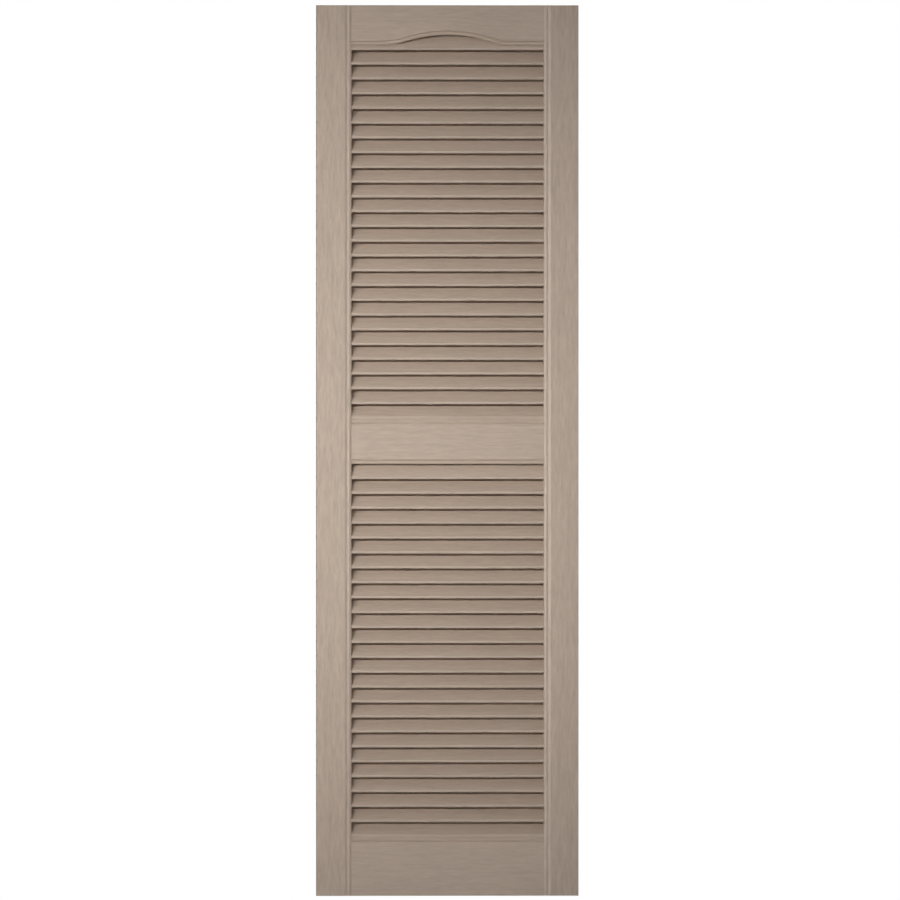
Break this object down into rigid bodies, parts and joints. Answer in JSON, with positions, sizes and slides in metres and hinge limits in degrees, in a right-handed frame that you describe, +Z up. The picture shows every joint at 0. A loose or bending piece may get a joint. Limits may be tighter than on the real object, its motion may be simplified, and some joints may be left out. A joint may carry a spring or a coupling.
{
  "type": "louvred shutter",
  "caption": "Tall fixed-louvre window shutter moulded in one piece, with stiles, an arched top rail, centre and bottom rails, beaded edges and a hollow ribbed back.",
  "frame": {"origin": "middle of the bottom edge, on the wall plane that the rear rim lies against", "axes": "+X to the right seen from the front, +Y from the louvred front into the wall, +Z up"},
  "size_m": [0.381, 0.0254, 1.2954],
  "materials": {
    "panel_plastic": "satin tan with an embossed wood grain"
  },
  "bodies": {
    "root": {"shutter_panel": "panel_plastic"}
  },
  "joints": []
}
